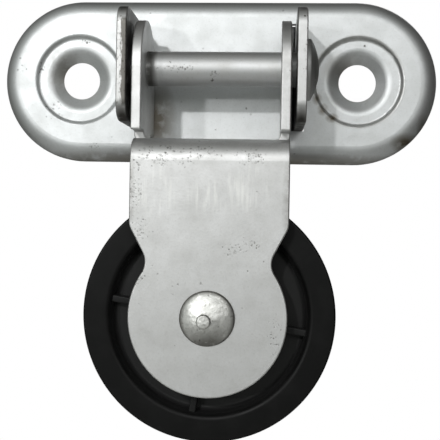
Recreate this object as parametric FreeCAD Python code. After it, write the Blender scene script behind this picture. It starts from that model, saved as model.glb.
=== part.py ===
"""Hinged pulley: a pressed wall plate, a folded fork that swings on it, and a grooved sheave.

Frame: X runs along the wall plate, Y points into the wall, Z is up. The origin is on the wall,
midway between the two screw holes. The fork hangs straight down. All sizes are in millimetres.
"""

import FreeCAD
import Part

import math
import os

V = FreeCAD.Vector

# Sheave: a moulded wheel with a rope groove, a web and ribs
SHEAVE_DIAMETER = 50.0
GROOVE_DEPTH = 5.5
GROOVE_RADIUS = 4.0
GROOVE_FLANK_ANGLE = 15.0
FLANGE_TIP = 1.4
FLANGE_ROUND = 0.5
FLANGE_ROUND_SHARE = 0.4
RIM_WALL = 1.2
POCKET_DRAFT = 0.4
SHEAVE_WEB = 5.0
HUB_DIAMETER = 18.0
HUB_PROUD = 1.5
RIB_COUNT = 4
RIB_THICKNESS = 1.4
RIB_SETBACK = 0.8
RIB_TURN = 9.0

# Axle: a solid rivet through a spacer bush that keeps the cheeks apart
RIVET_DIAMETER = 6.0
RIVET_HEAD_DIAMETER = 10.8
RIVET_HEAD_HEIGHT = 2.0
RIVET_HEAD_LAND = 0.4
RIVET_NIB_DIAMETER = 2.7
RIVET_NIB_HEIGHT = 0.35
RIVET_NIB_ROUND = 0.25
RIVET_BACK_HEAD_DIAMETER = 10.4
RIVET_BACK_HEAD_HEIGHT = 3.0
BUSH_WALL = 1.5

# Fork: one folded sheet with two cheeks down and two ears up
FORK_GAUGE = 2.0
FORK_WIDTH = 31.0
CHEEK_BEND = 2.5
EAR_BEND = 1.0
WEB_DROP = 14.5
AXLE_DROP = 49.5
WAIST_WIDTH = 24.6
WAIST_RADIUS = 4.0
NECK_ANGLE = 28.0
SHOULDER_RADIUS = 3.0
RELIEF_SLIT = 0.4

# Hinge bracket: a folded U whose ears stand through the wall plate
BRACKET_GAUGE = 2.0
BRACKET_BEND = 0.6
BRACKET_EAR_WIDTH = 22.6
BRACKET_EAR_REACH = 9.7
BRACKET_EAR_ROUND = 4.0

# Hinge pin: a rivet with a round head on one side and a peened end on the other
PIN_DIAMETER = 7.0
PIN_RISE = 0.8
PIN_HEAD_DIAMETER = 12.4
PIN_HEAD_HEIGHT = 2.6
PIN_HEAD_LAND = 0.9
PEEN_DIAMETER = 9.8
PEEN_HEIGHT = 1.4
PEEN_LAND = 0.5

# Wall plate: a dished pressing with two stepped countersinks
PLATE_LENGTH = 94.0
PLATE_WIDTH = 35.0
PLATE_GAUGE = 2.0
PLATE_RIM_BEND = 1.8
SCREW_SPACING = 60.0
SCREW_HOLE_DIAMETER = 8.0
SCREW_HOLE_LAND = 0.3
COUNTERSINK_DIAMETER = 13.0
RECESS_DIAMETER = 19.2
RECESS_DEPTH = 0.7
RECESS_WALL_ANGLE = 50.0
RECESS_LIP_ROUND = 0.6
RECESS_FLOOR_ROUND = 0.6
COUNTERSINK_ROUND = 2.5
COUNTERSINK_ROUND_SHARE = 0.7

# Worn-off corner along the cut edges of the sheets, where they turn by more than a smooth fold does
EDGE_BREAK = 0.3
SHARP_TURN = 20.0

# Clearances
SWING_CLEARANCE = 0.8
HINGE_SIDE_PLAY = 1.0
HUB_SIDE_PLAY = 0.2
RUNNING_CLEARANCE = 0.1
RIVETED_CLEARANCE = 0.05
SLOT_CLEARANCE = 0.15
WALL_GAP = 1.0

# How far a cutting tool runs past the face that it opens, and how near two sizes count as the same
OVERCUT = 1.0
SAME = 1e-6

# Sheave section, worked out from the groove outwards
SHEAVE_RADIUS = SHEAVE_DIAMETER / 2
FLANK = math.radians(GROOVE_FLANK_ANGLE)
GROOVE_CENTRE = SHEAVE_RADIUS - GROOVE_DEPTH + GROOVE_RADIUS
FLANK_FOOT_RADIUS = GROOVE_CENTRE - GROOVE_RADIUS * math.sin(FLANK)
FLANK_FOOT_HALF = GROOVE_RADIUS * math.cos(FLANK)
GROOVE_MOUTH_HALF = FLANK_FOOT_HALF + (SHEAVE_RADIUS - FLANK_FOOT_RADIUS) * math.tan(FLANK)
RIM_HALF = GROOVE_MOUTH_HALF + FLANGE_TIP
HUB_HALF = RIM_HALF + HUB_PROUD
RIVET_HOLE_RADIUS = RIVET_DIAMETER / 2 + RIVETED_CLEARANCE
BUSH_RADIUS = RIVET_HOLE_RADIUS + BUSH_WALL

# Fork and hinge, stacked out from the sheave and from the wall
PLATE_DEPTH = WALL_GAP + BRACKET_GAUGE + PLATE_GAUGE
CHEEK_INSIDE_HALF = HUB_HALF + HUB_SIDE_PLAY
EAR_RADIUS = CHEEK_INSIDE_HALF + FORK_GAUGE
CHEEK_FOLD = FORK_GAUGE + CHEEK_BEND
EAR_FOLD = FORK_GAUGE + EAR_BEND
PIN_RADIUS = PIN_DIAMETER / 2
PIN_Y = -(PLATE_DEPTH + SWING_CLEARANCE + EAR_RADIUS)
WEB_TOP = PIN_RISE - WEB_DROP
AXLE_Z = PIN_RISE - AXLE_DROP
BRACKET_INSIDE_HALF = FORK_WIDTH / 2 + HINGE_SIDE_PLAY
BRACKET_HALF = BRACKET_INSIDE_HALF + BRACKET_GAUGE
BRACKET_BACK = -WALL_GAP
BRACKET_TIP = PIN_Y - BRACKET_EAR_REACH

# Screw dimples, as heights off the wall, radii and slopes
RECESS_FLOOR = PLATE_DEPTH - RECESS_DEPTH
RECESS_BACK = RECESS_FLOOR - PLATE_GAUGE
RECESS_WALL = math.radians(RECESS_WALL_ANGLE)
RECESS_MOUTH_RADIUS = RECESS_DIAMETER / 2
RECESS_FLOOR_RADIUS = RECESS_MOUTH_RADIUS - RECESS_DEPTH / math.tan(RECESS_WALL)
COUNTERSINK_RADIUS = COUNTERSINK_DIAMETER / 2
SCREW_HOLE_RADIUS = SCREW_HOLE_DIAMETER / 2
COUNTERSINK_FALL = math.atan2(PLATE_GAUGE - SCREW_HOLE_LAND, COUNTERSINK_RADIUS - SCREW_HOLE_RADIUS)


def line(start, end):
    """Straight edge between two points."""
    return Part.LineSegment(start, end).toShape()


def arc(start, middle, end):
    """Round edge through three points."""
    return Part.Arc(start, middle, end).toShape()


def on_circle(centre, radius, degrees):
    """Point (u, v) on a circle in a flat section."""
    angle = math.radians(degrees)
    return centre[0] + radius * math.cos(angle), centre[1] + radius * math.sin(angle)


def folded_u(half, leg, gauge, bend, place):
    """Section of a sheet folded into a U.

    The web's outside lies on v = 0, the legs run along +v for a length of leg and their outside
    faces stand at u = -half and u = half. place turns (u, v) into a point in space.
    """
    fold = gauge + bend
    left, right = (fold - half, fold), (half - fold, fold)
    outside = [
        line(place(-half, leg), place(-half, fold)),
        arc(place(-half, fold), place(*on_circle(left, fold, 225)), place(fold - half, 0)),
        line(place(fold - half, 0), place(half - fold, 0)),
        arc(place(half - fold, 0), place(*on_circle(right, fold, 315)), place(half, fold)),
        line(place(half, fold), place(half, leg)),
    ]
    inside = [
        line(place(half - gauge, leg), place(half - gauge, fold)),
        arc(place(half - gauge, fold), place(*on_circle(right, bend, 315)), place(half - fold, gauge)),
        line(place(half - fold, gauge), place(fold - half, gauge)),
        arc(place(fold - half, gauge), place(*on_circle(left, bend, 225)), place(gauge - half, fold)),
        line(place(gauge - half, fold), place(gauge - half, leg)),
    ]
    ends = [
        line(place(half, leg), place(half - gauge, leg)),
        line(place(gauge - half, leg), place(-half, leg)),
    ]
    edges = outside + [ends[0]] + inside + [ends[1]]
    return Part.Face(Part.Wire(edges))


def break_edges(sheet):
    """Rounds every sharp edge of a cut sheet, and leaves its smooth folds alone."""
    sharp = []
    for edge in sheet.Edges:
        middle = edge.valueAt((edge.FirstParameter + edge.LastParameter) / 2)
        faces = sheet.ancestorsOfType(edge, Part.Face)
        first, second = (face.normalAt(*face.Surface.parameter(middle)) for face in faces)
        if first.getAngle(second) > math.radians(SHARP_TURN):
            sharp.append(edge)
    return sheet.makeFillet(EDGE_BREAK, sharp)


def turned(edges, centre, axis):
    """Solid of revolution of a closed half section."""
    return Part.Face(Part.Wire(edges)).revolve(centre, axis, 360)


def rod(centre, axis, start, end, radius):
    """Cylinder along an axis through centre, from start to end along it."""
    return Part.makeCylinder(radius, end - start, centre + axis * start, axis)


def domed_head(centre, axis, radius, height, land):
    """Rivet head that sits on the plane through centre and bulges along axis."""
    side = V(0, 0, 1)
    rim = centre + side * radius
    rim_top = rim + axis * land
    crown = centre + axis * height
    rise = height - land
    ball = (radius**2 + rise**2) / (2 * rise)
    lean = math.atan2(radius, ball - rise) / 2
    ball_centre = crown - axis * ball
    middle = ball_centre + axis * (ball * math.cos(lean)) + side * (ball * math.sin(lean))
    edges = [line(centre, rim), line(rim, rim_top), arc(rim_top, middle, crown), line(crown, centre)]
    return turned(edges, centre, axis)


def stadium(length, width, depth):
    """Slab with round ends, its back on the wall and its front at depth."""
    end = width / 2
    reach = length / 2 - end
    edges = [
        line(V(-reach, 0, end), V(reach, 0, end)),
        arc(V(reach, 0, end), V(reach + end, 0, 0), V(reach, 0, -end)),
        line(V(reach, 0, -end), V(-reach, 0, -end)),
        arc(V(-reach, 0, -end), V(-reach - end, 0, 0), V(-reach, 0, end)),
    ]
    return Part.Face(Part.Wire(edges)).extrude(V(0, -depth, 0))


def round_front(solid, depth, radius):
    """Rounds the edges of a slab's front face."""
    front = [
        e for e in solid.Edges if abs(e.BoundBox.YMin + depth) < SAME and e.BoundBox.YLength < SAME
    ]
    return solid.makeFillet(radius, front)


def circles(solid, radius, y):
    """Edges of a solid that are circles of this radius about an axis along Y, at this y."""
    whole = (edge for edge in solid.Edges if not edge.Degenerated)
    rounds = (edge for edge in whole if isinstance(edge.Curve, Part.Circle))
    across = (edge for edge in rounds if abs(edge.Curve.Axis.y) > 1 - SAME)
    level = (edge for edge in across if abs(edge.Curve.Center.y - y) < SAME)
    return [edge for edge in level if abs(edge.Curve.Radius - radius) < SAME]


def screw_dimple():
    """Pressed-back boss and the stepped countersink that opens it, about a hole at the origin."""
    # The back of the sheet follows its front one gauge behind it
    back_face = PLATE_DEPTH - PLATE_GAUGE
    set_out = PLATE_GAUGE * math.tan(RECESS_WALL / 2)
    back = [
        (0, RECESS_BACK),
        (RECESS_FLOOR_RADIUS + set_out, RECESS_BACK),
        (RECESS_MOUTH_RADIUS + set_out, back_face),
        (0, back_face),
    ]
    front = [
        (0, -OVERCUT),
        (SCREW_HOLE_RADIUS, -OVERCUT),
        (SCREW_HOLE_RADIUS, RECESS_BACK + SCREW_HOLE_LAND),
        (COUNTERSINK_RADIUS, RECESS_FLOOR),
        (RECESS_FLOOR_RADIUS, RECESS_FLOOR),
        (RECESS_MOUTH_RADIUS, PLATE_DEPTH),
        (RECESS_MOUTH_RADIUS + OVERCUT / math.tan(RECESS_WALL), PLATE_DEPTH + OVERCUT),
        (0, PLATE_DEPTH + OVERCUT),
    ]

    def turned_section(points):
        spots = [V(radius, -height, 0) for radius, height in points]
        edges = [line(a, b) for a, b in zip(spots, spots[1:] + spots[:1])]
        return turned(edges, V(0, 0, 0), V(0, 1, 0))

    return turned_section(back), turned_section(front)


def soften_dimples(plate):
    """Rounds the dimples' corners as a press leaves them."""
    ring = RECESS_FLOOR_RADIUS - COUNTERSINK_RADIUS
    widest = COUNTERSINK_ROUND_SHARE * ring / math.tan(COUNTERSINK_FALL / 2)
    plate = plate.makeFillet(RECESS_LIP_ROUND, circles(plate, RECESS_MOUTH_RADIUS, -PLATE_DEPTH))
    plate = plate.makeFillet(RECESS_FLOOR_ROUND, circles(plate, RECESS_FLOOR_RADIUS, -RECESS_FLOOR))
    mouths = circles(plate, COUNTERSINK_RADIUS, -RECESS_FLOOR)
    return plate.makeFillet(min(COUNTERSINK_ROUND, widest), mouths)


def base_plate():
    """Dished wall plate with two stepped countersinks and two slots for the hinge ears."""
    shell = round_front(
        stadium(PLATE_LENGTH, PLATE_WIDTH, PLATE_DEPTH), PLATE_DEPTH, PLATE_GAUGE + PLATE_RIM_BEND
    )
    hollow_depth = PLATE_DEPTH - PLATE_GAUGE
    hollow = round_front(
        stadium(PLATE_LENGTH - 2 * PLATE_GAUGE, PLATE_WIDTH - 2 * PLATE_GAUGE, hollow_depth),
        hollow_depth,
        PLATE_RIM_BEND,
    )
    plate = shell.cut(hollow)
    boss, sink = screw_dimple()
    for side in (-1, 1):
        place = V(side * SCREW_SPACING / 2, 0, 0)
        plate = plate.fuse(boss.translated(place)).cut(sink.translated(place))
    plate = soften_dimples(plate)

    # The slot clears the inside of the bracket's fold, so the bracket's web lies flat behind
    slot_inner = BRACKET_INSIDE_HALF - BRACKET_BEND - SLOT_CLEARANCE
    slot_outer = BRACKET_HALF + SLOT_CLEARANCE
    slot_length = BRACKET_EAR_WIDTH + 2 * SLOT_CLEARANCE
    for start in (-slot_outer, slot_inner):
        slot = Part.makeBox(
            slot_outer - slot_inner,
            PLATE_GAUGE + 2 * OVERCUT,
            slot_length,
            V(start, -PLATE_DEPTH - OVERCUT, PIN_RISE - slot_length / 2),
        )
        plate = plate.cut(slot)
    return plate.removeSplitter()


def hinge_bracket():
    """Folded U behind the wall plate, with two round-cornered ears out through its slots."""

    def place(u, v):
        return V(u, BRACKET_BACK - v, PIN_RISE - BRACKET_EAR_WIDTH / 2)

    leg = BRACKET_BACK - BRACKET_TIP
    section = folded_u(BRACKET_HALF, leg, BRACKET_GAUGE, BRACKET_BEND, place)
    bracket = section.extrude(V(0, 0, BRACKET_EAR_WIDTH))
    corners = [
        e
        for e in bracket.Edges
        if abs(e.BoundBox.YMax - BRACKET_TIP) < SAME and e.BoundBox.ZLength < SAME
    ]
    bracket = break_edges(bracket.makeFillet(BRACKET_EAR_ROUND, corners))
    reach = BRACKET_HALF + OVERCUT
    hole = rod(V(0, PIN_Y, PIN_RISE), V(1, 0, 0), -reach, reach, PIN_RADIUS + RIVETED_CLEARANCE)
    return bracket.cut(hole)


def hinge_pin():
    """Rivet through all four ears, headed at +X and peened over at -X."""
    centre, along = V(0, PIN_Y, PIN_RISE), V(1, 0, 0)
    shank = rod(centre, along, -BRACKET_HALF, BRACKET_HALF, PIN_RADIUS)
    head = domed_head(
        centre + along * BRACKET_HALF, along, PIN_HEAD_DIAMETER / 2, PIN_HEAD_HEIGHT, PIN_HEAD_LAND
    )
    peen = domed_head(centre - along * BRACKET_HALF, -along, PEEN_DIAMETER / 2, PEEN_HEIGHT, PEEN_LAND)
    return shank.fuse([head, peen]).removeSplitter()


def cheek_outline():
    """Prism of the cheek's outline, seen from the front: straight sides, a waist and a round end."""
    half = FORK_WIDTH / 2
    neck = math.radians(NECK_ANGLE)

    # The waist's arc meets the round end where their circles touch
    waist_x = WAIST_WIDTH / 2 + WAIST_RADIUS
    waist_rise = math.sqrt((half + WAIST_RADIUS) ** 2 - waist_x**2)
    waist = (waist_x, AXLE_Z + waist_rise)
    end_lean = math.degrees(math.atan2(waist_rise, waist_x))
    waist_low = on_circle(waist, WAIST_RADIUS, 180 + end_lean)
    waist_high = on_circle(waist, WAIST_RADIUS, 180 - NECK_ANGLE)
    waist_middle = on_circle(waist, WAIST_RADIUS, 180 + (end_lean - NECK_ANGLE) / 2)
    corner_z = waist_high[1] + (half - waist_high[0]) / math.tan(neck)
    shoulder = (half - SHOULDER_RADIUS, corner_z + SHOULDER_RADIUS * math.tan(neck / 2))
    shoulder_low = on_circle(shoulder, SHOULDER_RADIUS, -NECK_ANGLE)
    shoulder_middle = on_circle(shoulder, SHOULDER_RADIUS, -NECK_ANGLE / 2)
    shoulder_high = on_circle(shoulder, SHOULDER_RADIUS, 0)

    def at(side, spot):
        return V(side * spot[0], PIN_Y - EAR_RADIUS - OVERCUT, spot[1])

    top = (half, WEB_TOP + OVERCUT)
    edges = []
    for side in (1, -1):
        edges += [
            line(at(side, top), at(side, shoulder_high)),
            arc(at(side, shoulder_high), at(side, shoulder_middle), at(side, shoulder_low)),
            line(at(side, shoulder_low), at(side, waist_high)),
            arc(at(side, waist_high), at(side, waist_middle), at(side, waist_low)),
        ]
    edges.append(arc(at(1, waist_low), at(1, (0, AXLE_Z - half)), at(-1, waist_low)))
    edges.append(line(at(-1, top), at(1, top)))
    wire = Part.Wire(Part.__sortEdges__(edges))
    return Part.Face(wire).extrude(V(0, 2 * (EAR_RADIUS + OVERCUT), 0))


def ear_outline():
    """Prism of the fork ear's outline, seen from the side: a round top and a narrow foot."""
    foot_half = EAR_RADIUS - CHEEK_FOLD - RELIEF_SLIT
    wing_low = WEB_TOP + EAR_BEND + RELIEF_SLIT
    bottom = WEB_TOP - FORK_GAUGE - OVERCUT

    def at(across, height):
        return V(-FORK_WIDTH / 2 - OVERCUT, PIN_Y + across, height)

    edges = [
        arc(at(-EAR_RADIUS, PIN_RISE), at(0, PIN_RISE + EAR_RADIUS), at(EAR_RADIUS, PIN_RISE)),
        line(at(EAR_RADIUS, PIN_RISE), at(EAR_RADIUS, wing_low)),
        line(at(EAR_RADIUS, wing_low), at(foot_half, wing_low)),
        line(at(foot_half, wing_low), at(foot_half, bottom)),
        line(at(foot_half, bottom), at(-foot_half, bottom)),
        line(at(-foot_half, bottom), at(-foot_half, wing_low)),
        line(at(-foot_half, wing_low), at(-EAR_RADIUS, wing_low)),
        line(at(-EAR_RADIUS, wing_low), at(-EAR_RADIUS, PIN_RISE)),
    ]
    return Part.Face(Part.Wire(edges)).extrude(V(FORK_WIDTH + 2 * OVERCUT, 0, 0))


def fork():
    """Sheet folded down into two cheeks and up into two ears, slit where the folds meet."""

    def cheek_place(u, v):
        return V(-FORK_WIDTH / 2, PIN_Y + u, WEB_TOP - v)

    def ear_place(u, v):
        return V(u, PIN_Y - EAR_RADIUS, WEB_TOP - FORK_GAUGE + v)

    cheek_leg = WEB_TOP - AXLE_Z + FORK_WIDTH / 2 + OVERCUT
    cheeks = folded_u(EAR_RADIUS, cheek_leg, FORK_GAUGE, CHEEK_BEND, cheek_place)
    cheeks = break_edges(cheeks.extrude(V(FORK_WIDTH, 0, 0)).common(cheek_outline()))
    ear_leg = PIN_RISE + EAR_RADIUS + OVERCUT - (WEB_TOP - FORK_GAUGE)
    ears = folded_u(FORK_WIDTH / 2, ear_leg, FORK_GAUGE, EAR_BEND, ear_place)
    ears = break_edges(ears.extrude(V(0, 2 * EAR_RADIUS, 0)).common(ear_outline()))

    # The web's ends belong to the ears between the slits, and to the cheeks outside them
    flat_half = EAR_RADIUS - CHEEK_FOLD
    for start in (-FORK_WIDTH / 2 - OVERCUT, FORK_WIDTH / 2 - EAR_FOLD):
        end_block = Part.makeBox(
            EAR_FOLD + OVERCUT,
            2 * flat_half,
            FORK_GAUGE + 2 * OVERCUT,
            V(start, PIN_Y - flat_half, WEB_TOP - FORK_GAUGE - OVERCUT),
        )
        cheeks = cheeks.cut(end_block)
    whole = cheeks.fuse(ears).removeSplitter()
    ear_reach = FORK_WIDTH / 2 + OVERCUT
    pin_hole = rod(
        V(0, PIN_Y, PIN_RISE), V(1, 0, 0), -ear_reach, ear_reach, PIN_RADIUS + RUNNING_CLEARANCE
    )
    cheek_reach = EAR_RADIUS + OVERCUT
    rivet_hole = rod(V(0, PIN_Y, AXLE_Z), V(0, 1, 0), -cheek_reach, cheek_reach, RIVET_HOLE_RADIUS)
    return whole.cut(pin_hole).cut(rivet_hole)


def groove_surface(across):
    """Radius of the rope groove's surface at a distance from the sheave's mid-plane."""
    if across <= FLANK_FOOT_HALF:
        return GROOVE_CENTRE - math.sqrt(GROOVE_RADIUS**2 - across**2)
    return FLANK_FOOT_RADIUS + (across - FLANK_FOOT_HALF) / math.tan(FLANK)


def sheave_pocket(place, hub, bore):
    """Ring-shaped pocket in the sheave's +Y side, with the ribs left standing in it."""
    web_half = SHEAVE_WEB / 2
    root = groove_surface(web_half) - RIM_WALL
    mouth = root + POCKET_DRAFT * (1 + OVERCUT / (RIM_HALF - web_half))
    corners = [
        place(hub, web_half),
        place(root, web_half),
        place(mouth, RIM_HALF + OVERCUT),
        place(hub, RIM_HALF + OVERCUT),
    ]
    centre, axis = place(0, 0), V(0, 1, 0)
    pocket = turned([line(a, b) for a, b in zip(corners, corners[1:] + corners[:1])], centre, axis)
    rib = Part.makeBox(
        SHEAVE_RADIUS - bore,
        RIM_HALF - RIB_SETBACK,
        RIB_THICKNESS,
        place(bore, 0) - V(0, 0, RIB_THICKNESS / 2),
    )
    for index in range(RIB_COUNT):
        standing = rib.copy()
        standing.rotate(centre, axis, RIB_TURN + index * 360 / RIB_COUNT)
        pocket = pocket.cut(standing)
    return pocket


def sheave():
    """Grooved wheel with a long hub and a ribbed pocket in each side."""
    centre, axis = V(0, PIN_Y, AXLE_Z), V(0, 1, 0)
    bore, hub = BUSH_RADIUS + RUNNING_CLEARANCE, HUB_DIAMETER / 2

    def at(radius, across):
        return V(radius, PIN_Y + across, AXLE_Z)

    half_section = [
        (bore, HUB_HALF),
        (hub, HUB_HALF),
        (hub, RIM_HALF),
        (SHEAVE_RADIUS, RIM_HALF),
        (SHEAVE_RADIUS, GROOVE_MOUTH_HALF),
        (FLANK_FOOT_RADIUS, FLANK_FOOT_HALF),
    ]
    edges = [
        arc(
            at(FLANK_FOOT_RADIUS, FLANK_FOOT_HALF),
            at(GROOVE_CENTRE - GROOVE_RADIUS, 0),
            at(FLANK_FOOT_RADIUS, -FLANK_FOOT_HALF),
        ),
        line(at(bore, -HUB_HALF), at(bore, HUB_HALF)),
    ]
    for side in (1, -1):
        spots = [at(radius, side * across) for radius, across in half_section]
        edges += [line(a, b) for a, b in zip(spots, spots[1:])]
    wheel = turned(Part.__sortEdges__(edges), centre, axis)
    tips = []
    for half in (GROOVE_MOUTH_HALF, RIM_HALF):
        for side in (-1, 1):
            tips += circles(wheel, SHEAVE_RADIUS, PIN_Y + side * half)
    wheel = wheel.makeFillet(min(FLANGE_ROUND, FLANGE_ROUND_SHARE * FLANGE_TIP), tips)
    pocket = sheave_pocket(at, hub, bore)
    return wheel.cut([pocket, pocket.mirror(centre, axis)]).removeSplitter()


def axle_bush():
    """Spacer tube that the sheave turns on, gripped between the cheeks."""
    centre, axis = V(0, PIN_Y, AXLE_Z), V(0, 1, 0)
    tube = rod(centre, axis, -CHEEK_INSIDE_HALF, CHEEK_INSIDE_HALF, BUSH_RADIUS)
    return tube.cut(rod(centre, axis, -EAR_RADIUS, EAR_RADIUS, RIVET_HOLE_RADIUS))


def axle_rivet():
    """Solid rivet: round head at the back, formed head with a small nib at the front."""
    centre, axis = V(0, PIN_Y, AXLE_Z), V(0, 1, 0)
    shank = rod(centre, axis, -EAR_RADIUS, EAR_RADIUS, RIVET_DIAMETER / 2)
    front = domed_head(
        centre - axis * EAR_RADIUS, -axis, RIVET_HEAD_DIAMETER / 2, RIVET_HEAD_HEIGHT, RIVET_HEAD_LAND
    )
    back = domed_head(
        centre + axis * EAR_RADIUS,
        axis,
        RIVET_BACK_HEAD_DIAMETER / 2,
        RIVET_BACK_HEAD_HEIGHT,
        RIVET_HEAD_LAND,
    )
    nib_end = EAR_RADIUS + RIVET_HEAD_HEIGHT + RIVET_NIB_HEIGHT
    nib = rod(centre, -axis, EAR_RADIUS, nib_end, RIVET_NIB_DIAMETER / 2)
    rivet = shank.fuse([front, back, nib]).removeSplitter()
    return rivet.makeFillet(RIVET_NIB_ROUND, circles(rivet, RIVET_NIB_DIAMETER / 2, PIN_Y - nib_end))


def main():
    """Builds every piece and writes one file for each."""
    os.makedirs("parts", exist_ok=True)
    for build in (base_plate, hinge_bracket, hinge_pin, fork, sheave, axle_bush, axle_rivet):
        piece = build()
        piece.exportStep(f"parts/{build.__name__}.step")
        print(build.__name__, len(piece.Solids), piece.isValid(), round(piece.Volume, 2))


main()
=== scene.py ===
"""Looks of the hinged pulley: plated pressed sheet, riveted pins and a moulded black wheel.

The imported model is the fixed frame: X runs along the wall plate, Y into the wall and Z up, in metres.
Sizes that are written in millimetres are multiplied by MM where they are used.
"""

import logging
import math
from collections.abc import Callable, Sequence
from dataclasses import dataclass
from enum import Enum
from typing import Any

import bmesh
import bpy
from mathutils import Matrix, Vector, noise


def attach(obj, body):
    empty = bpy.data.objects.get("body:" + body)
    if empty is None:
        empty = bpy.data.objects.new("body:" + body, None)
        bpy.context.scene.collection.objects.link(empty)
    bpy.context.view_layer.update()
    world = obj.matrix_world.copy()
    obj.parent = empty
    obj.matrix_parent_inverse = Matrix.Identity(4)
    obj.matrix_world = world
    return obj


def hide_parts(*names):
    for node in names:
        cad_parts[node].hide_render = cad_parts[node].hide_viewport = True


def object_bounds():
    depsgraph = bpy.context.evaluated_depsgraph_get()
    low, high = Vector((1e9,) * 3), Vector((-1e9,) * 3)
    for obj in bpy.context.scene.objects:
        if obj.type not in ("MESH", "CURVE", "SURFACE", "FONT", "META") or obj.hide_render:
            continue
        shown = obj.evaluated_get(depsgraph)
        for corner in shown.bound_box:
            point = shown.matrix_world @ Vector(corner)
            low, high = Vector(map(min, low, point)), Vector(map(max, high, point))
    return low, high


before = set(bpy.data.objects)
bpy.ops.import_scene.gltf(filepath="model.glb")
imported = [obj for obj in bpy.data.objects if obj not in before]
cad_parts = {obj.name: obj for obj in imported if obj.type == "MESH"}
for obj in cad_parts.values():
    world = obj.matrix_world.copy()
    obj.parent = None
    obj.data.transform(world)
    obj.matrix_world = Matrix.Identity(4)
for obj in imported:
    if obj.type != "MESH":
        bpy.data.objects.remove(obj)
CAD_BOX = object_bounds()

MM = 0.001
LOG = logging.getLogger("hinged_pulley")

Tree = bpy.types.NodeTree
Socket = bpy.types.NodeSocket
Span = tuple[float, float]

# Sockets of a Mix node that is set to colours
MIX_A, MIX_B, MIX_OUT = 6, 7, 2

# Distance in millimetres within which two points are the same
SAME = 1e-4

# Share of a patch's reach, from its middle, that has the patch's full strength
PATCH_CORE = 0.2

# Bevels at the rim and the shoulder of a rivet head, in millimetres, and segments of a ring's bevel
RIM_SOFT, SHOULDER_SOFT = 0.12, 0.3
RING_SEGMENTS = 4

# Steps of the turn of a pin or rivet, and rings of its domes
SHANK_STEPS, DOME_STEPS = 96, 12

# Places that the pieces share, in millimetres
HINGE_Y, HINGE_Z = -15.443, 0.8
AXLE_Z = -48.7
CHEEK_OUTSIDE_HALF = 9.643
WHEEL_FACE_HALF = 5.943


class Body(Enum):
    """Bodies of the frame that move on their own."""

    WALL_BRACKET = "wall_bracket"
    SWING_FORK = "swing_fork"
    WHEEL = "wheel"


class Slot(Enum):
    """Names of material slots for the pieces that are made here, which no piece is given."""

    RIVET = "plated_rivet"
    NYLON = "black_nylon"


def linear(colour: str) -> tuple[float, float, float, float]:
    """Turns an sRGB hex colour into linear light.

    Args:
        colour: A hash sign and six hex digits.

    Returns:
        Red, green and blue, and an alpha of 1.
    """
    shares = [int(colour[i : i + 2], 16) / 255 for i in (1, 3, 5)]
    red, green, blue = (s / 12.92 if s <= 0.04045 else ((s + 0.055) / 1.055) ** 2.4 for s in shares)
    return red, green, blue, 1.0


def add_node(
    tree: Tree,
    kind: str,
    settings: dict[str | int, Any] | None = None,
    links: dict[str | int, Socket] | None = None,
) -> bpy.types.Node:
    """Adds a node with its settings and links.

    Args:
        tree: Tree that gets the node.
        kind: The node's type, without its leading ShaderNode.
        settings: Values by the name of a property, or by the name or number of an input.
        links: Outputs of other nodes by the input that they feed.

    Returns:
        The new node.
    """
    node = tree.nodes.new("ShaderNode" + kind)
    for key, value in (settings or {}).items():
        if isinstance(key, str) and hasattr(node, key):
            setattr(node, key, value)
        else:
            node.inputs[key].default_value = value
    for key, socket in (links or {}).items():
        tree.links.new(socket, node.inputs[key])
    return node


def calculate(tree: Tree, operation: str, first: Socket, second: Socket | float = 0.0) -> Socket:
    """Adds a sum on one or two values.

    Args:
        tree: Tree that gets the node.
        operation: A Math node's operation.
        first: The first value.
        second: The second value, for an operation that has one.

    Returns:
        The sum's result.
    """
    node = add_node(tree, "Math", {"operation": operation}, {0: first})
    if isinstance(second, float):
        node.inputs[1].default_value = second
    else:
        tree.links.new(second, node.inputs[1])
    return node.outputs[0]


def ramp(tree: Tree, value: Socket, source: Span = (0.0, 1.0), target: Span = (0.0, 1.0)) -> Socket:
    """Maps one span of values to another, and holds it at the ends.

    Args:
        tree: Tree that gets the node.
        value: What is mapped.
        source: The values that become the ends of the target.
        target: What they become.

    Returns:
        The mapped value.
    """
    names = ("From Min", "From Max", "To Min", "To Max")
    return add_node(tree, "MapRange", dict(zip(names, source + target)), {"Value": value}).outputs["Result"]


def mix_colours(tree: Tree, share: Socket, under: Socket | str, over: str) -> Socket:
    """Lays a colour over another.

    Args:
        tree: Tree that gets the node.
        share: How much the upper colour covers, from 0 to 1.
        under: The lower colour, in hex or from a node.
        over: The upper colour, in hex.

    Returns:
        The mixed colour.
    """
    layer = add_node(tree, "Mix", {"data_type": "RGBA", MIX_B: linear(over)}, {0: share})
    if isinstance(under, str):
        layer.inputs[MIX_A].default_value = linear(under)
    else:
        tree.links.new(under, layer.inputs[MIX_A])
    return layer.outputs[MIX_OUT]


def soft_noise(tree: Tree, place: Socket, size_mm: float, detail: float, roughness: float = 0.5) -> Socket:
    """Adds noise that is alike in all directions.

    Args:
        tree: Tree that gets the nodes.
        place: Object coordinates.
        size_mm: Size of its largest features, in millimetres.
        detail: Number of finer layers.
        roughness: Strength of each finer layer.

    Returns:
        Levels around 0.5.
    """
    settings = {"Scale": 1 / (size_mm * MM), "Detail": detail, "Roughness": roughness}
    return add_node(tree, "TexNoise", settings, {"Vector": place}).outputs["Fac"]


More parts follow.
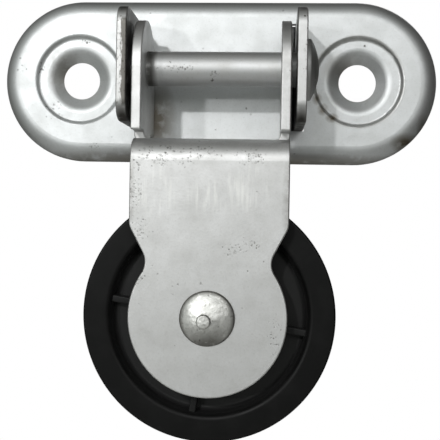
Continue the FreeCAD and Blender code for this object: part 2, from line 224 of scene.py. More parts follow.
def streaky_noise(
    tree: Tree, place: Socket, sizes_mm: tuple[float, float, float], detail: float, roughness: float = 0.5
) -> Socket:
    """Adds noise that is longer in one direction than in another.

    Args:
        tree: Tree that gets the nodes.
        place: Object coordinates.
        sizes_mm: Size of its largest features along X, Y and Z, in millimetres.
        detail: Number of finer layers.
        roughness: Strength of each finer layer.

    Returns:
        Levels around 0.5.
    """
    scales = tuple(1 / (size * MM) for size in sizes_mm)
    squeezed = add_node(tree, "VectorMath", {"operation": "MULTIPLY", 1: scales}, {0: place})
    settings = {"Scale": 1.0, "Detail": detail, "Roughness": roughness}
    return add_node(tree, "TexNoise", settings, {"Vector": squeezed.outputs[0]}).outputs["Fac"]


@dataclass(frozen=True)
class Patch:
    """An oval patch on a piece, or a ring, seen from the front.

    Attributes:
        x: Middle along the plate, in millimetres.
        z: Middle's height, in millimetres.
        reach_x: Half width of the patch, or of the ring's band, in millimetres.
        reach_z: Half height of the patch, or half width of the ring's band, in millimetres.
        ring: Radius of a ring in millimetres, 0 for a filled patch.
        share: Strength in the middle, from 0 to 1.
    """

    x: float
    z: float
    reach_x: float
    reach_z: float
    ring: float = 0.0
    share: float = 1.0


@dataclass(frozen=True)
class ShearedEdge:
    """The cut front edge of the left ear: burnished at the outside, torn at the inside.

    Attributes:
        front: Y of the edge, in millimetres.
        lowest: Z at which the edge ends, in millimetres.
        tear: X at which the tear starts, in millimetres.
        streaks: Size of the torn streaks along X, Y and Z, in millimetres.
        ragged: How far the streaks move the tear's start, in millimetres.
        tear_fade: Millimetres past the tear at which torn steel starts and is full.
        middle_fade: X in millimetres at which the other ear ends and this one starts.
        front_fade: Millimetres behind the front at which torn steel starts and is full.
        foot_fade: Millimetres above the lowest point at which torn steel is full.
    """

    front: float
    lowest: float
    tear: float
    streaks: tuple[float, float, float] = (0.35, 0.6, 2.2)
    ragged: float = 2.4
    tear_fade: Span = (1.1, 1.4)
    middle_fade: Span = (1.0, -1.0)
    front_fade: Span = (0.3, 0.1)
    foot_fade: float = 0.3


def near_patches(tree: Tree, place: Socket, patches: Sequence[Patch]) -> Socket:
    """Makes a mask of patches.

    Args:
        tree: The material's nodes.
        place: Object coordinates.
        patches: At least one patch.

    Returns:
        A mask that is strongest in the middle of each patch and 0 outside.
    """
    masks = []
    for patch in patches:
        offset = add_node(
            tree,
            "VectorMath",
            {
                "operation": "MULTIPLY_ADD",
                1: (1 / (patch.reach_x * MM), 0.0, 1 / (patch.reach_z * MM)),
                2: (-patch.x / patch.reach_x, 0.0, -patch.z / patch.reach_z),
            },
            {0: place},
        )
        away = add_node(tree, "VectorMath", {"operation": "LENGTH"}, {0: offset.outputs[0]})
        distance = away.outputs["Value"]
        if patch.ring:
            band = calculate(tree, "SUBTRACT", distance, patch.ring / patch.reach_x)
            distance = calculate(tree, "ABSOLUTE", band)
        masks.append(ramp(tree, distance, (PATCH_CORE, 1.0), (patch.share, 0.0)))
    strongest = masks[0]
    for mask in masks[1:]:
        strongest = calculate(tree, "MAXIMUM", strongest, mask)
    return strongest


@dataclass(frozen=True)
class Finish:
    """A procedural finish on Object coordinates."""

    name: str

    def build(self) -> bpy.types.Material:
        """Makes the material.

        Returns:
            A node material with this finish's name.
        """
        material = bpy.data.materials.new(self.name)
        material.use_nodes = True
        tree = material.node_tree
        tree.nodes.clear()
        place = add_node(tree, "TexCoord").outputs["Object"]
        shader = add_node(tree, "BsdfPrincipled")
        add_node(tree, "OutputMaterial", links={"Surface": shader.outputs["BSDF"]})
        self.paint(tree, place, shader)
        return material

    def paint(self, tree: Tree, place: Socket, shader: bpy.types.Node) -> None:
        """Fills in the finish: each kind of finish has its own.

        Args:
            tree: The material's nodes.
            place: Object coordinates.
            shader: The surface to feed.
        """
        raise NotImplementedError


@dataclass(frozen=True)
class ZincPlating(Finish):
    """Bright zinc plating on cold-rolled steel, some years old.

    The eye gets a pale, nearly neutral grey that clouds over a few millimetres, a fine speckle, a satin
    gloss with no clear mirror image, small dark pits where the plating has failed, thickest at the
    bends, a brown layer where dirt stays, the same brown laid as painted shade and painted shadows
    where light is blocked, bright drawn lines and a torn grey band along a sheared edge.

    Values that end in _mm are sizes in millimetres. Those that end in _share are strengths from 0 to 1,
    and those that end in _fade are the levels of noise at which a layer starts and is full. Pits have
    their size and edge in shares of their pitch.
    """

    pale: str = "#dbdbdc"
    cloudy: str = "#d2d2d1"
    speck: str = "#a3a19b"
    line: str = "#f6f6f3"
    pit: str = "#3f3b35"
    dirt_and_shade: str = "#7a6a4c"
    torn: str = "#706e6a"
    roughness: float = 0.47
    roughness_spread: float = 0.05
    cloud_mm: float = 5.0
    cloud_fade: Span = (0.35, 0.68)
    grain_mm: float = 0.45
    grain_depth_mm: float = 0.012
    speck_fade: Span = (0.54, 0.76)
    speck_share: float = 0.18
    wave_mm: float = 14.0
    wave_depth_mm: float = 0.1
    pit_pitch_mm: float = 0.5
    pit_depth_mm: float = 0.03
    pit_stir_mm: float = 0.28
    pit_shift_mm: float = 0.5
    pit_size: Span = (0.22, 0.72)
    pit_edge: Span = (0.15, 1.15)
    pit_darkness: Span = (0.25, 0.95)
    pit_share: float = 0.002
    crowded_share: float = 1.0
    clump_mm: float = 1.8
    clump_fade: Span = (0.36, 0.54)
    dirt_and_shade_share: float = 0.9
    dirt_and_shade_mm: float = 2.5
    dirt_and_shade_gaps: float = 0.3
    dirt_and_shade_spread: float = 0.26
    line_mm: tuple[float, float, float] = (0.7, 8.0, 7.0)
    line_fade: Span = (0.5, 0.66)
    line_share: float = 0.5
    crowded: tuple[Patch, ...] = ()
    dirt_and_shade_patches: tuple[Patch, ...] = ()
    drawn: tuple[Patch, ...] = ()
    sheared: ShearedEdge | None = None

    def paint(self, tree: Tree, place: Socket, shader: bpy.types.Node) -> None:
        """Paints clouds, specks, drawn lines, dirt with painted shade, tears and pits, and their relief.

        Args:
            tree: The material's nodes.
            place: Object coordinates.
            shader: The surface to feed.
        """
        cloud = soft_noise(tree, place, self.cloud_mm, detail=5.0, roughness=0.62)
        clouds = ramp(tree, cloud, self.cloud_fade)
        grain = soft_noise(tree, place, self.grain_mm, detail=3.0)
        wave = soft_noise(tree, place, self.wave_mm, detail=1.0)
        pits = self.pits(tree, place)
        specks = ramp(tree, grain, self.speck_fade, (0.0, self.speck_share))
        layers = [(clouds, self.cloudy), (specks, self.speck)]
        if self.drawn:
            layers.append((self.drawn_lines(tree, place), self.line))
        # dirt, and painted shade and painted shadows laid in the same colour
        if self.dirt_and_shade_patches:
            layers.append((self.dirt_and_shade_mask(tree, place), self.dirt_and_shade))
        if self.sheared:
            layers.append((self.torn_band(tree, place, self.sheared), self.torn))
        layers.append((pits, self.pit))
        colour: Socket | str = self.pale
        for mask, shade in layers:
            colour = mix_colours(tree, mask, colour, shade)
        tree.links.new(colour, shader.inputs["Base Color"])
        gloss = ramp(tree, clouds, target=(self.roughness, self.roughness + self.roughness_spread))
        tree.links.new(gloss, shader.inputs["Roughness"])
        normal = None
        for height, depth, sunk in (
            (wave, self.wave_depth_mm, False),
            (grain, self.grain_depth_mm, False),
            (pits, self.pit_depth_mm, True),
        ):
            bump = add_node(tree, "Bump", {"Distance": depth * MM, "invert": sunk}, {"Height": height})
            if normal:
                tree.links.new(normal, bump.inputs["Normal"])
            normal = bump.outputs["Normal"]
        tree.links.new(normal, shader.inputs["Normal"])
        shader.inputs["Metallic"].default_value = 1.0

    def drawn_lines(self, tree: Tree, place: Socket) -> Socket:
        """Makes the upright lines that the bending die draws into the sheet.

        Args:
            tree: The material's nodes.
            place: Object coordinates.

        Returns:
            A mask that is strongest on a line.
        """
        lines = streaky_noise(tree, place, self.line_mm, detail=2.0)
        sharp = ramp(tree, lines, self.line_fade, (0.0, self.line_share))
        return calculate(tree, "MULTIPLY", sharp, near_patches(tree, place, self.drawn))

    def dirt_and_shade_mask(self, tree: Tree, place: Socket) -> Socket:
        """Makes a thin dirty layer, which is also laid as painted shade and painted shadows.

        Args:
            tree: The material's nodes.
            place: Object coordinates.

        Returns:
            A mask that is strongest where the dirt and painted shade are darkest.
        """
        smear = soft_noise(tree, place, self.dirt_and_shade_mm, detail=6.0)
        fade = (self.dirt_and_shade_gaps, self.dirt_and_shade_gaps + self.dirt_and_shade_spread)
        thick = ramp(tree, smear, fade, (0.0, self.dirt_and_shade_share))
        return calculate(tree, "MULTIPLY", thick, near_patches(tree, place, self.dirt_and_shade_patches))

    def torn_band(self, tree: Tree, place: Socket, edge: ShearedEdge) -> Socket:
        """Makes the torn band of a sheared edge.

        Args:
            tree: The material's nodes.
            place: Object coordinates.
            edge: Where the edge is.

        Returns:
            A mask that is 1 where the steel is torn.
        """

        def fade(value: Socket, start: float, full: float) -> Socket:
            """Fades a mask in between two places, in millimetres."""
            return ramp(tree, value, (start * MM, full * MM))

        split = add_node(tree, "SeparateXYZ", links={0: place})
        streaks = streaky_noise(tree, place, edge.streaks, detail=4.0, roughness=0.65)
        shifted = add_node(
            tree,
            "Math",
            {"operation": "MULTIPLY_ADD", 1: edge.ragged * MM},
            {0: streaks, 2: split.outputs["X"]},
        )
        torn = fade(shifted.outputs[0], *(edge.tear + past for past in edge.tear_fade))
        left = fade(split.outputs["X"], *edge.middle_fade)
        front = fade(split.outputs["Y"], *(edge.front + behind for behind in edge.front_fade))
        above = fade(split.outputs["Z"], edge.lowest, edge.lowest + edge.foot_fade)
        inner = calculate(tree, "MULTIPLY", torn, left)
        facing = calculate(tree, "MULTIPLY", front, above)
        return calculate(tree, "MULTIPLY", inner, facing)

    def pits(self, tree: Tree, place: Socket) -> Socket:
        """Scatters pits, a few everywhere and many in the crowded patches.

        Args:
            tree: The material's nodes.
            place: Object coordinates.

        Returns:
            A mask that is strongest in a pit.
        """
        stir = add_node(
            tree, "TexNoise", {"Scale": 1 / (self.pit_stir_mm * MM), "Detail": 2.0}, {"Vector": place}
        )
        stirred = add_node(
            tree,
            "VectorMath",
            {"operation": "MULTIPLY_ADD", 1: (self.pit_shift_mm * MM,) * 3},
            {0: stir.outputs["Color"], 2: place},
        )
        cells = add_node(
            tree, "TexVoronoi", {"Scale": 1 / (self.pit_pitch_mm * MM)}, {"Vector": stirred.outputs[0]}
        )
        lots = add_node(tree, "SeparateColor", links={0: cells.outputs["Color"]}).outputs
        share: Socket | float = self.pit_share
        if self.crowded:
            clump = ramp(tree, soft_noise(tree, place, self.clump_mm, detail=2.0), self.clump_fade)
            crowd = calculate(tree, "MULTIPLY", clump, near_patches(tree, place, self.crowded))
            share = ramp(tree, crowd, target=(self.pit_share, self.crowded_share))
        chosen = calculate(tree, "LESS_THAN", lots[0], share)
        size = ramp(tree, lots[1], target=self.pit_size)
        shrunk = calculate(tree, "DIVIDE", cells.outputs["Distance"], size)
        dot = ramp(tree, shrunk, self.pit_edge, (1.0, 0.0))
        there = calculate(tree, "MULTIPLY", chosen, dot)
        return calculate(tree, "MULTIPLY", there, ramp(tree, lots[2], target=self.pit_darkness))


@dataclass(frozen=True)
class MouldedNylon(Finish):
    """Black nylon from a mould, satin all over.

    The eye gets near black with a soft grey sheen, a faint grain, a little rubbed-in dust, and a lighter
    grey in the pockets and the groove: dust, and painted light that lifts the shade of the pocket walls.

    Values that end in _mm are sizes in millimetres. Dust fades in between the two levels of noise of
    dust_fade, and the lighter grey of the hollows, dust and painted light, between the two depths below
    the faces of hollow_mm.
    """

    black: str = "#070707"
    dusty: str = "#0f0f0f"
    hollow_dust_and_painted_light: str = "#272727"
    roughness: float = 0.42
    roughness_spread: float = 0.12
    specular: float = 0.2
    dust_mm: float = 5.0
    dust_fade: Span = (0.45, 0.8)
    hollow_mm: Span = (0.3, 1.2)
    grain_mm: float = 0.35
    grain_depth_mm: float = 0.006

    def paint(self, tree: Tree, place: Socket, shader: bpy.types.Node) -> None:
        """Paints dust, painted light in the hollows and moulded grain.

        Args:
            tree: The material's nodes.
            place: Object coordinates.
            shader: The surface to feed.
        """
        dust = ramp(tree, soft_noise(tree, place, self.dust_mm, detail=5.0, roughness=0.6), self.dust_fade)
        body = mix_colours(tree, dust, self.black, self.dusty)
        depth = add_node(tree, "SeparateXYZ", links={0: place}).outputs["Y"]
        from_middle = calculate(tree, "ABSOLUTE", calculate(tree, "SUBTRACT", depth, HINGE_Y * MM))
        # the hollows get a lighter grey: dust, and painted light that lifts the shade of the pocket walls
        shallow, deep = ((WHEEL_FACE_HALF - below) * MM for below in self.hollow_mm)
        sunk = ramp(tree, from_middle, (shallow, deep))
        whole = mix_colours(tree, sunk, body, self.hollow_dust_and_painted_light)
        tree.links.new(whole, shader.inputs["Base Color"])
        gloss = ramp(tree, dust, target=(self.roughness, self.roughness + self.roughness_spread))
        tree.links.new(gloss, shader.inputs["Roughness"])
        grain = soft_noise(tree, place, self.grain_mm, detail=2.0)
        bumpy = add_node(tree, "Bump", {"Distance": self.grain_depth_mm * MM}, {"Height": grain})
        tree.links.new(bumpy.outputs["Normal"], shader.inputs["Normal"])
        shader.inputs["Specular IOR Level"].default_value = self.specular


@dataclass(frozen=True)
class Ring:
    """A ring of a turned profile.

    Attributes:
        radius: Distance from the axis, in millimetres.
        along: Distance along the axis, in millimetres.
        soft: Width of the bevel that rounds the ring in millimetres, 0 for none.
    """

    radius: float
    along: float
    soft: float = 0.0

    def holds(self, spot: Vector) -> bool:
        """Tells whether a point of the turned mesh is on this ring.

        Args:
            spot: The point, in metres.

        Returns:
            True on the ring.
        """
        away = math.hypot(spot.x, spot.y) / MM
        return abs(away - self.radius) < SAME and abs(spot.z / MM - self.along) < SAME


@dataclass(frozen=True)
class HammerMarks:
    """Marks that a hammer leaves.

    Attributes:
        pitch: Spacing of the marks, in millimetres.
        depth: Depth of the marks, in millimetres.
    """

    pitch: float
    depth: float

    def beat(self, mesh: bmesh.types.BMesh, struck: Callable[[Vector], bool]) -> None:
        """Beats the marks into a turned mesh, each towards its middle.

        Args:
            mesh: The mesh, turned round the Z axis.
            struck: Tells whether a point is struck.
        """
        for vert in mesh.verts:
            if struck(vert.co):
                blow = abs(noise.noise(vert.co / (self.pitch * MM)))
                vert.co.z -= math.copysign(blow * self.depth * MM, vert.co.z)


def dome(radius: float, base: float, land: float, height: float, steps: int = DOME_STEPS) -> list[Ring]:
    """Works out a rivet head, from the rim of its base to the top of its dome.

    Args:
        radius: Radius of the head, in millimetres.
        base: Where the head sits along the axis, in millimetres.
        land: Height of the straight rim, in millimetres.
        height: Full height, negative for a head that points down the axis.
        steps: Number of rings between the rim and the top.

    Returns:
        The rings, the last of them at the top.
    """
    side = math.copysign(1.0, height)
    rise = abs(height) - land
    ball = (radius**2 + rise**2) / (2 * rise)
    widest = math.asin(radius / ball)
    rings = [Ring(radius, base, RIM_SOFT), Ring(radius, base + side * land, SHOULDER_SOFT)]
    for step in range(1, steps + 1):
        lean = widest * (1 - step / steps)
        rings.append(Ring(ball * math.sin(lean), base + side * (abs(height) - ball * (1 - math.cos(lean)))))
    return rings


def round_edges(
    mesh: bmesh.types.BMesh, edges: list[bmesh.types.BMEdge], width: float, segments: int
) -> None:
    """Rounds edges with a bevel.

    Args:
        mesh: The mesh that has the edges.
        edges: The edges.
        width: Width of the bevel, in millimetres.
        segments: Number of faces across it.
    """
    bmesh.ops.bevel(
        mesh,
        geom=edges,
        offset=width * MM,
        offset_type="OFFSET",
        segments=segments,
        profile=0.5,
        affect="EDGES",
        material=-1,
    )


def turn_profile(rings: Sequence[Ring], closed: bool, steps: int) -> bmesh.types.BMesh:
    """Turns a profile round the Z axis and rounds its rings.

    Args:
        rings: The profile, in order.
        closed: True for a profile that goes round to its first ring.
        steps: Number of steps of the turn.

    Returns:
        The mesh, in metres.
    """
    mesh = bmesh.new()
    spots = [mesh.verts.new((ring.radius * MM, 0.0, ring.along * MM)) for ring in rings]
    pairs = list(zip(spots, spots[1:]))
    if closed:
        pairs.append((spots[-1], spots[0]))
    sides = [mesh.edges.new(pair) for pair in pairs]
    bmesh.ops.spin(
        mesh,
        geom=spots + sides,
        cent=(0.0, 0.0, 0.0),
        axis=(0.0, 0.0, 1.0),
        angle=math.tau,
        steps=steps,
        use_merge=True,
    )
    bmesh.ops.remove_doubles(mesh, verts=mesh.verts, dist=SAME * MM)
    bmesh.ops.recalc_face_normals(mesh, faces=mesh.faces)
    for ring in rings:
        if ring.soft:
            corner = [edge for edge in mesh.edges if all(ring.holds(vert.co) for vert in edge.verts)]
            round_edges(mesh, corner, ring.soft, RING_SEGMENTS)
    return mesh


def lay_on_axis(mesh: bmesh.types.BMesh, turned_about: str, height: float) -> None:
    """Lays a turned mesh on the hinge's or the wheel's axis.

    Args:
        mesh: The mesh, turned round the Z axis.
        turned_about: Axis of the quarter turn that lays it down.
        height: Height of the axis, in millimetres.
    """
    quarter = Matrix.Rotation(math.pi / 2, 4, turned_about)
    place = Matrix.Translation(Vector((0.0, HINGE_Y, height)) * MM)
    bmesh.ops.transform(mesh, matrix=place @ quarter, verts=mesh.verts)


def add_object(name: str, mesh: bmesh.types.BMesh, material: bpy.types.Material) -> bpy.types.Object:
    """Adds a mesh to the scene.

    Args:
        name: The object's name.
        mesh: Its shape in the frame, which is freed.
        material: Its surface.

    Returns:
        The object.
    """
    data = bpy.data.meshes.new(name)
    mesh.to_mesh(data)
    mesh.free()
    data.materials.append(material)
    added = bpy.data.objects.new(name, data)
    bpy.context.scene.collection.objects.link(added)
    return added


def finish_piece(
    name: str, mesh: bmesh.types.BMesh, finish: Finish, body: Body, node: str
) -> None:
    """Makes a mesh a piece of the object, in place of a node.

    Args:
        name: The piece's name.
        mesh: Its shape in the frame, which is freed.
        finish: Its finish.
        body: The body that it moves with.
        node: The node that it stands for.
    """
    for face in mesh.faces:
        face.smooth = True
    piece = add_object(name, mesh, finish.build())
    even = piece.modifiers.new("even_shading", "WEIGHTED_NORMAL")
    even.mode = "FACE_AREA"
    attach(piece, body.value)
    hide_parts(node)
    LOG.info("made %s in place of %s", name, node)


def dress(node: str, finish: Finish) -> None:
    """Gives a node of the frame its finish.

    Args:
        node: The node's name.
        finish: The finish.
    """
    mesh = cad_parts[node].data
    mesh.materials.clear()
    mesh.materials.append(finish.build())
    LOG.info("dressed %s with %s", node, finish.name)


@dataclass
class WallBracket:
    """The wall plate, the hinge ears behind it and the pin through them, in millimetres."""

    ear_outside_half: float = 18.5
    pin_radius: float = 3.5
    head_radius: float = 6.2
    head_height: float = 2.6
    head_land: float = 0.9
    peen_radius: float = 4.9
    peen_height: float = 1.4
    peen_land: float = 0.5
    peen_marks: HammerMarks = HammerMarks(1.7, 0.22)
    plate_finish: Finish = ZincPlating(
        "zinc_plated_wall_plate",
        pale="#dadcdd",
        cloudy="#d1d3d3",
        dirt_and_shade="#5f5138",
        roughness=0.48,
        dirt_and_shade_share=0.9,
        dirt_and_shade_gaps=0.22,
        crowded=(
            Patch(-43.5, 2.5, 2.0, 3.0, share=0.6),
            Patch(-38.2, 2.0, 1.8, 3.0),
            Patch(-35.0, -7.0, 3.0, 2.5),
            Patch(-28.5, 8.4, 3.4, 1.0, share=0.5),
            Patch(-26.5, -14.6, 2.4, 1.0),
        ),
        dirt_and_shade_patches=(
            # painted shade on the right dimple's recess wall
            Patch(30.0, 0.0, 0.8, 0.8, ring=9.4, share=0.3),
            # painted shade on the upper left sides of both countersinks, which face away from the lamps
            Patch(-33.4, 1.6, 4.6, 5.6, share=0.6),
            Patch(27.0, 2.6, 5.2, 4.6, share=0.5),
            # painted shade along the bottom rim, which faces down
            Patch(0.0, -17.6, 60.0, 2.6, share=0.85),
            Patch(21.3, -3.6, 1.2, 1.6, share=0.8),
            Patch(22.6, -5.9, 1.4, 1.5),
            Patch(24.6, -7.7, 1.6, 1.2),
            Patch(40.4, -12.8, 3.8, 2.3),
            Patch(44.0, -9.6, 1.6, 3.4, share=0.6),
            # painted shadow of the left fork ear on the plate, below the pin
            Patch(-13.0, -8.5, 4.6, 9.0, share=0.85),
        ),
    )
    bracket_finish: Finish = ZincPlating(
        "zinc_plated_hinge_ears",
        pale="#d3d3d3",
        cloudy="#c9c9c8",
        dirt_and_shade="#35312a",
        dirt_and_shade_gaps=0.22,
        crowded=(Patch(-17.5, 2.0, 2.0, 11.0), Patch(18.3, 2.0, 1.0, 11.0)),
        crowded_share=0.45,
        dirt_and_shade_patches=(
            # painted shade in the gaps between these ears and the fork's ears
            Patch(-16.4, 0.0, 0.4, 30.0),
            Patch(16.4, 0.0, 0.4, 30.0),
            # painted shade on the rounded tops of the ears, which face up
            Patch(-17.5, 12.3, 2.6, 2.2),
            Patch(17.5, 12.6, 2.6, 2.0),
            # painted shade on the feet of the ears, which face down
            Patch(-17.3, -10.0, 2.6, 3.4),
            Patch(17.5, -10.6, 2.6, 4.0),
        ),
        sheared=ShearedEdge(-25.143, -12.0, -17.6),
    )
    pin_finish: Finish = ZincPlating(
        "zinc_plated_hinge_pin",
        pale="#d6d7d8",
        dirt_and_shade="#35312a",
        roughness=0.54,
        dirt_and_shade_share=0.8,
        dirt_and_shade_gaps=0.16,
        wave_mm=5.0,
        wave_depth_mm=0.04,
        crowded=(Patch(-7.5, 0.6, 4.5, 1.4), Patch(0.2, -0.8, 1.5, 1.6)),
        # painted shade: the right ear's shadow on the head, and the left fork ear's shadow on the left end
        dirt_and_shade_patches=(Patch(20.6, 0.8, 2.4, 14.0), Patch(-12.8, 0.0, 1.6, 20.0)),
    )

    def pin(self) -> None:
        """Turns the pin: a plain shank with a round head, and an end that is hammered over."""
        half = self.ear_outside_half
        head = dome(self.head_radius, half, self.head_land, self.head_height)
        peen = dome(self.peen_radius, -half, self.peen_land, -self.peen_height)
        shank = [Ring(self.pin_radius, -half), Ring(self.pin_radius, half)]
        mesh = turn_profile(peen[::-1] + shank + head, False, SHANK_STEPS)
        self.peen_marks.beat(mesh, lambda spot: spot.z / MM < -half - self.peen_land)
        lay_on_axis(mesh, "Y", HINGE_Z)
        finish_piece(
            "riveted_hinge_pin", mesh, self.pin_finish, Body.WALL_BRACKET, "hinge_pin"
        )

    def build(self) -> None:
        """Makes the pin and dresses the pressed sheets."""
        dress("base_plate", self.plate_finish)
        dress("hinge_bracket", self.bracket_finish)
        self.pin()


@dataclass
class SwingFork:
    """The folded fork, the rivet through its cheeks and the bush between them, in millimetres.

    The nib stands on the front head inside nib_clear past its own radius. Its foot is nib_foot above
    the dome's last ring, and nib_lean is how far it leans along the turned mesh's X and Y.
    """

    rivet_radius: float = 3.0
    head_radius: float = 5.4
    head_height: float = 2.0
    head_land: float = 0.4
    head_steps: int = 14
    head_marks: tuple[HammerMarks, ...] = (HammerMarks(1.5, 0.1), HammerMarks(0.7, 0.05))
    nib_radius: float = 1.35
    nib_height: float = 0.35
    nib_clear: float = 0.3
    nib_foot: float = 0.1
    nib_foot_soft: float = 0.15
    nib_top_soft: float = 0.28
    nib_lean: Span = (-0.75, -0.6)
    back_head_radius: float = 5.2
    back_head_height: float = 3.0
    sheet_finish: Finish = ZincPlating(
        "zinc_plated_fork",
        pale="#dedede",
        cloudy="#cfcfce",
        dirt_and_shade="#6b675f",
        pit_share=0.004,
        dirt_and_shade_share=0.4,
        crowded=(
            Patch(-8.5, -17.6, 8.0, 2.8),
            Patch(-1.0, -16.8, 5.0, 1.6),
            Patch(8.0, -17.6, 4.0, 2.2),
            Patch(-14.2, -23.5, 1.4, 8.0),
            Patch(5.0, -35.4, 3.4, 1.7),
            Patch(9.0, -33.8, 3.2, 1.5),
            Patch(-13.2, -31.8, 1.8, 3.0),
            Patch(13.2, -51.5, 1.6, 4.5),
            Patch(-13.4, -41.0, 1.6, 3.0),
        ),
        dirt_and_shade_patches=(
            Patch(-15.3, -24.0, 0.9, 12.0),
            Patch(15.3, -26.0, 1.4, 10.0),
            # painted shade in the gaps between the fork's ears and the bracket's ears
            Patch(-15.4, 0.0, 0.4, 20.0),
            Patch(15.4, 0.0, 0.4, 20.0),
            # darkens the right fork ear all over
            Patch(14.5, 0.0, 1.8, 16.0, share=0.45),
        ),
        drawn=(Patch(7.1, -23.7, 6.0, 6.0), Patch(-10.5, -24.5, 5.0, 6.0), Patch(0.0, -25.0, 6.0, 4.0)),
    )
    rivet_finish: Finish = ZincPlating(
        "zinc_plated_axle_rivet",
        pale="#ebebe8",
        cloudy="#dadad6",
        dirt_and_shade="#3d382f",
        roughness=0.45,
        cloud_mm=1.2,
        grain_mm=0.6,
        grain_depth_mm=0.045,
        wave_mm=1.9,
        wave_depth_mm=0.07,
        pit_share=0.1,
        speck_share=0.3,
        dirt_and_shade_share=0.8,
        dirt_and_shade_mm=1.2,
        dirt_and_shade_gaps=0.14,
        dirt_and_shade_patches=(
            # painted contact shade round the head's rim, with dirt
            Patch(0.0, AXLE_Z, 0.95, 0.95, ring=5.5),
            # painted shade and brown dirt on the lower half of the head
            Patch(0.6, AXLE_Z - 5.2, 7.5, 4.6, share=0.9),
            # painted shadow: a dark crescent round the upper right of the nib
            Patch(1.6, AXLE_Z - 0.6, 1.2, 1.2, share=0.4),
            Patch(-0.9, AXLE_Z + 0.9, 0.8, 0.8, share=0.45),
            Patch(0.0, AXLE_Z + 0.8, 0.8, 0.8, share=0.45),
            Patch(0.6, AXLE_Z + 0.2, 0.8, 0.8, share=0.45),
            Patch(0.8, AXLE_Z - 0.7, 0.8, 0.8, share=0.45),
        ),
    )
    bush_finish: Finish = ZincPlating("zinc_plated_bush")

    def on_front_head(self, spot: Vector) -> bool:
        """Tells whether a point of the turned rivet is on the front head's dome or its nib.

        Args:
            spot: The point, in metres.

        Returns:
            True above the head's straight rim.
        """
        return spot.z / MM > CHEEK_OUTSIDE_HALF + self.head_land

    def rivet(self) -> None:
        """Turns the axle rivet: a formed head with a nib in front, a round head behind."""
        half = CHEEK_OUTSIDE_HALF
        front = dome(self.head_radius, half, self.head_land, self.head_height, self.head_steps)
        slope = [ring for ring in front if ring.radius > self.nib_radius + self.nib_clear]
        top = half + self.head_height + self.nib_height
        nib = [
            Ring(self.nib_radius, slope[-1].along + self.nib_foot, self.nib_foot_soft),
            Ring(self.nib_radius, top, self.nib_top_soft),
            Ring(0.0, top),
        ]
        shank = [Ring(self.rivet_radius, -half), Ring(self.rivet_radius, half)]
        back = dome(self.back_head_radius, -half, self.head_land, -self.back_head_height)
        mesh = turn_profile(back[::-1] + shank + slope + nib, False, SHANK_STEPS)
        self.lean_nib(mesh)
        for marks in self.head_marks:
            marks.beat(mesh, self.on_front_head)
        lay_on_axis(mesh, "X", AXLE_Z)
        finish_piece(
            "formed_axle_rivet", mesh, self.rivet_finish, Body.SWING_FORK, "axle_rivet"
        )

    def lean_nib(self, mesh: bmesh.types.BMesh) -> None:
        """Leans the front head's nib over, as the last blow left it.

        Args:
            mesh: The rivet, turned round the Z axis.
        """
        for vert in mesh.verts:
            share = 1 - math.hypot(vert.co.x, vert.co.y) / (self.head_radius * MM)
            if self.on_front_head(vert.co) and share > 0:
                vert.co.x += self.nib_lean[0] * share * MM
                vert.co.y += self.nib_lean[1] * share * MM

    def build(self) -> None:
        """Makes the rivet and dresses the fork and the bush."""
        dress("fork", self.sheet_finish)
        dress("axle_bush", self.bush_finish)
        self.rivet()


